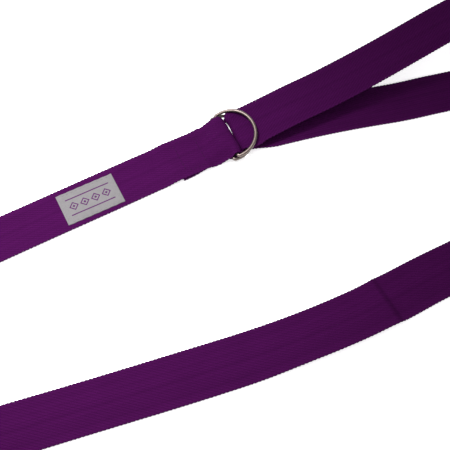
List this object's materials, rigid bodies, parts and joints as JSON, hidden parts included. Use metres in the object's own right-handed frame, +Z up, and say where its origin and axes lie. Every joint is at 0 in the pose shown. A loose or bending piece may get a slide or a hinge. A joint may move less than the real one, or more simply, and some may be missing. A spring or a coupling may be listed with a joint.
{
  "type": "stretching strap",
  "caption": "Flat woven cotton strap with D-rings sewn into one end, threaded back through them to make an adjustable foot loop, lying on the floor.",
  "frame": {"origin": "on the floor, straight below the middle of the two ring bars, on the flat underside of the sewn end", "axes": "+Z up from the floor; +X along the lay of the strap, towards the free end's side; +Y away from the near strand, so the sewn end points 28 degrees from +X towards +Y"},
  "size_m": [0.6606, 0.4641, 0.042],
  "materials": {
    "webbing": "matte purple cotton webbing, fine lengthwise twill, serrated woven edges",
    "ring": "nickel-plated bent steel wire, softly polished",
    "label": "plain silver-grey woven tape",
    "thread": "sewing thread"
  },
  "bodies": {
    "webbing": {"webbing_sewn_loop": "webbing", "webbing_step_down": "webbing", "webbing_label_strand": "webbing", "webbing_left_turn": "webbing", "webbing_near_strand": "webbing", "webbing_right_turn": "webbing", "webbing_low_strand": "webbing", "webbing_ring_fold": "webbing", "label": "label", "label_stitches": "thread", "ring_end_stitches": "thread"},
    "lower_ring": {"lower_ring": "ring"},
    "upper_ring": {"upper_ring": "ring"},
    "tail": {"webbing_tail": "webbing", "webbing_end_hem": "webbing", "hem_stitches": "thread"}
  },
  "joints": [
    {"name": "upper_ring_swing", "type": "hinge", "parent": "webbing", "child": "upper_ring", "pos_m": [0.00116, 0.00037, 0.0072], "axis": [0.454, -0.891, 0], "range_deg": [0, 140]},
    {"name": "lower_ring_play", "type": "hinge", "parent": "webbing", "child": "lower_ring", "pos_m": [-0.00223, -0.00091, 0.004], "axis": [0.454, -0.891, 0], "range_deg": [0, 2]},
    {"name": "tail_lift", "type": "hinge", "parent": "webbing", "child": "tail", "pos_m": [0.03146, 0.01661, 0.0102], "axis": [0.454, -0.891, 0], "range_deg": [0, 60]}
  ]
}
